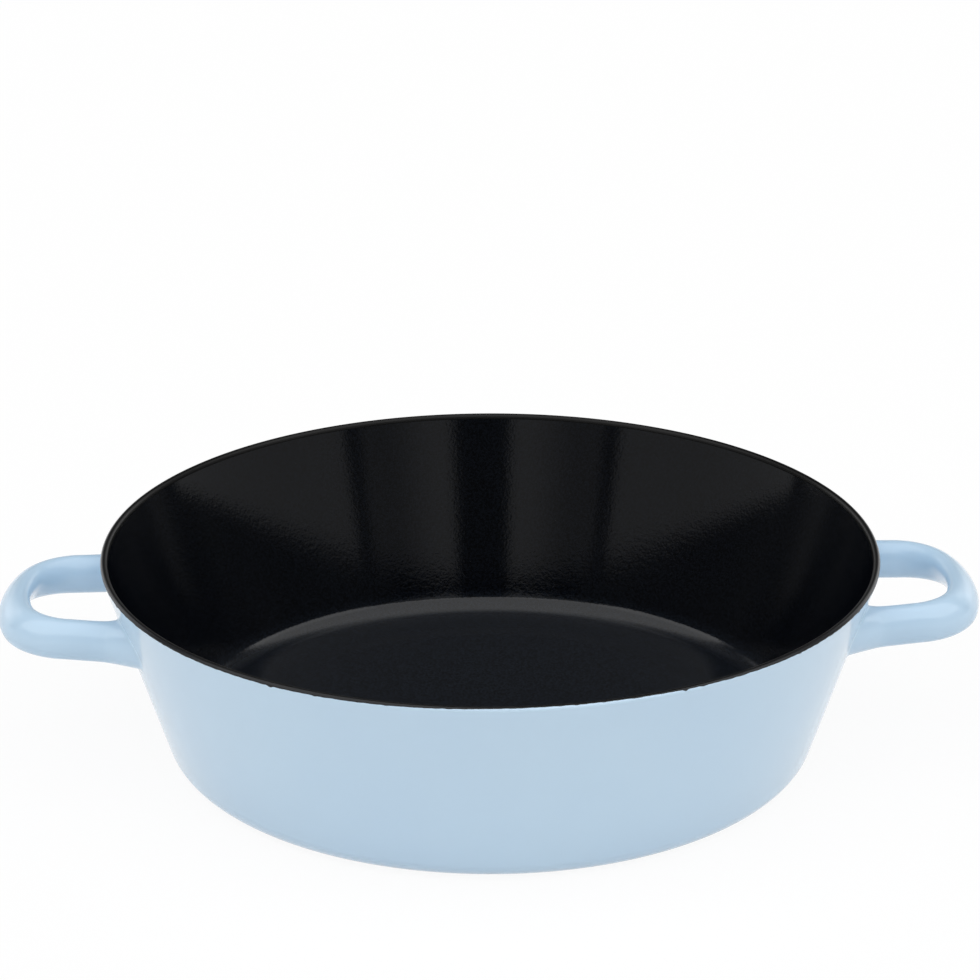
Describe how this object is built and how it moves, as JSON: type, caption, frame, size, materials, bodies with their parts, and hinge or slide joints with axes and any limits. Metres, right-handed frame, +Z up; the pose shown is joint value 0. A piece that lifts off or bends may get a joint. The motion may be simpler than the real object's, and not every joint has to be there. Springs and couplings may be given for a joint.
{
  "type": "braiser pan",
  "caption": "Shallow round enamelled steel pan with leaning walls, a flat base, a dark rim band and hollow loop handles on opposite sides, for braising and serving.",
  "frame": {"origin": "centre of the flat face the pan stands on, under the pan's axis", "axes": "+Z up along the pan's axis, +X through the right handle, +Y towards the back"},
  "size_m": [0.3538, 0.2796, 0.075],
  "materials": {
    "blue_enamel": "glossy light blue vitreous enamel",
    "handle_enamel": "glossy light blue vitreous enamel, a little deeper on the handles",
    "base_enamel": "dark ground coat under the base, semi-gloss",
    "black_enamel": "black vitreous enamel with a fine speckle, semi-gloss",
    "rim_enamel": "dark grey-black enamel over the cut edge",
    "bare_steel": "pickled low-carbon steel, hidden under the enamel",
    "weld_steel": "weld bead, hidden under the enamel"
  },
  "bodies": {
    "root": {"steel_pan_shell": "bare_steel", "left_handle_tube": "bare_steel", "right_handle_tube": "bare_steel", "left_front_weld": "weld_steel", "left_rear_weld": "weld_steel", "right_front_weld": "weld_steel", "right_rear_weld": "weld_steel", "inner_enamel": "black_enamel", "rim_enamel": "rim_enamel", "outer_enamel": "blue_enamel", "base_enamel": "base_enamel", "left_handle_enamel": "handle_enamel", "right_handle_enamel": "handle_enamel"}
  },
  "joints": []
}
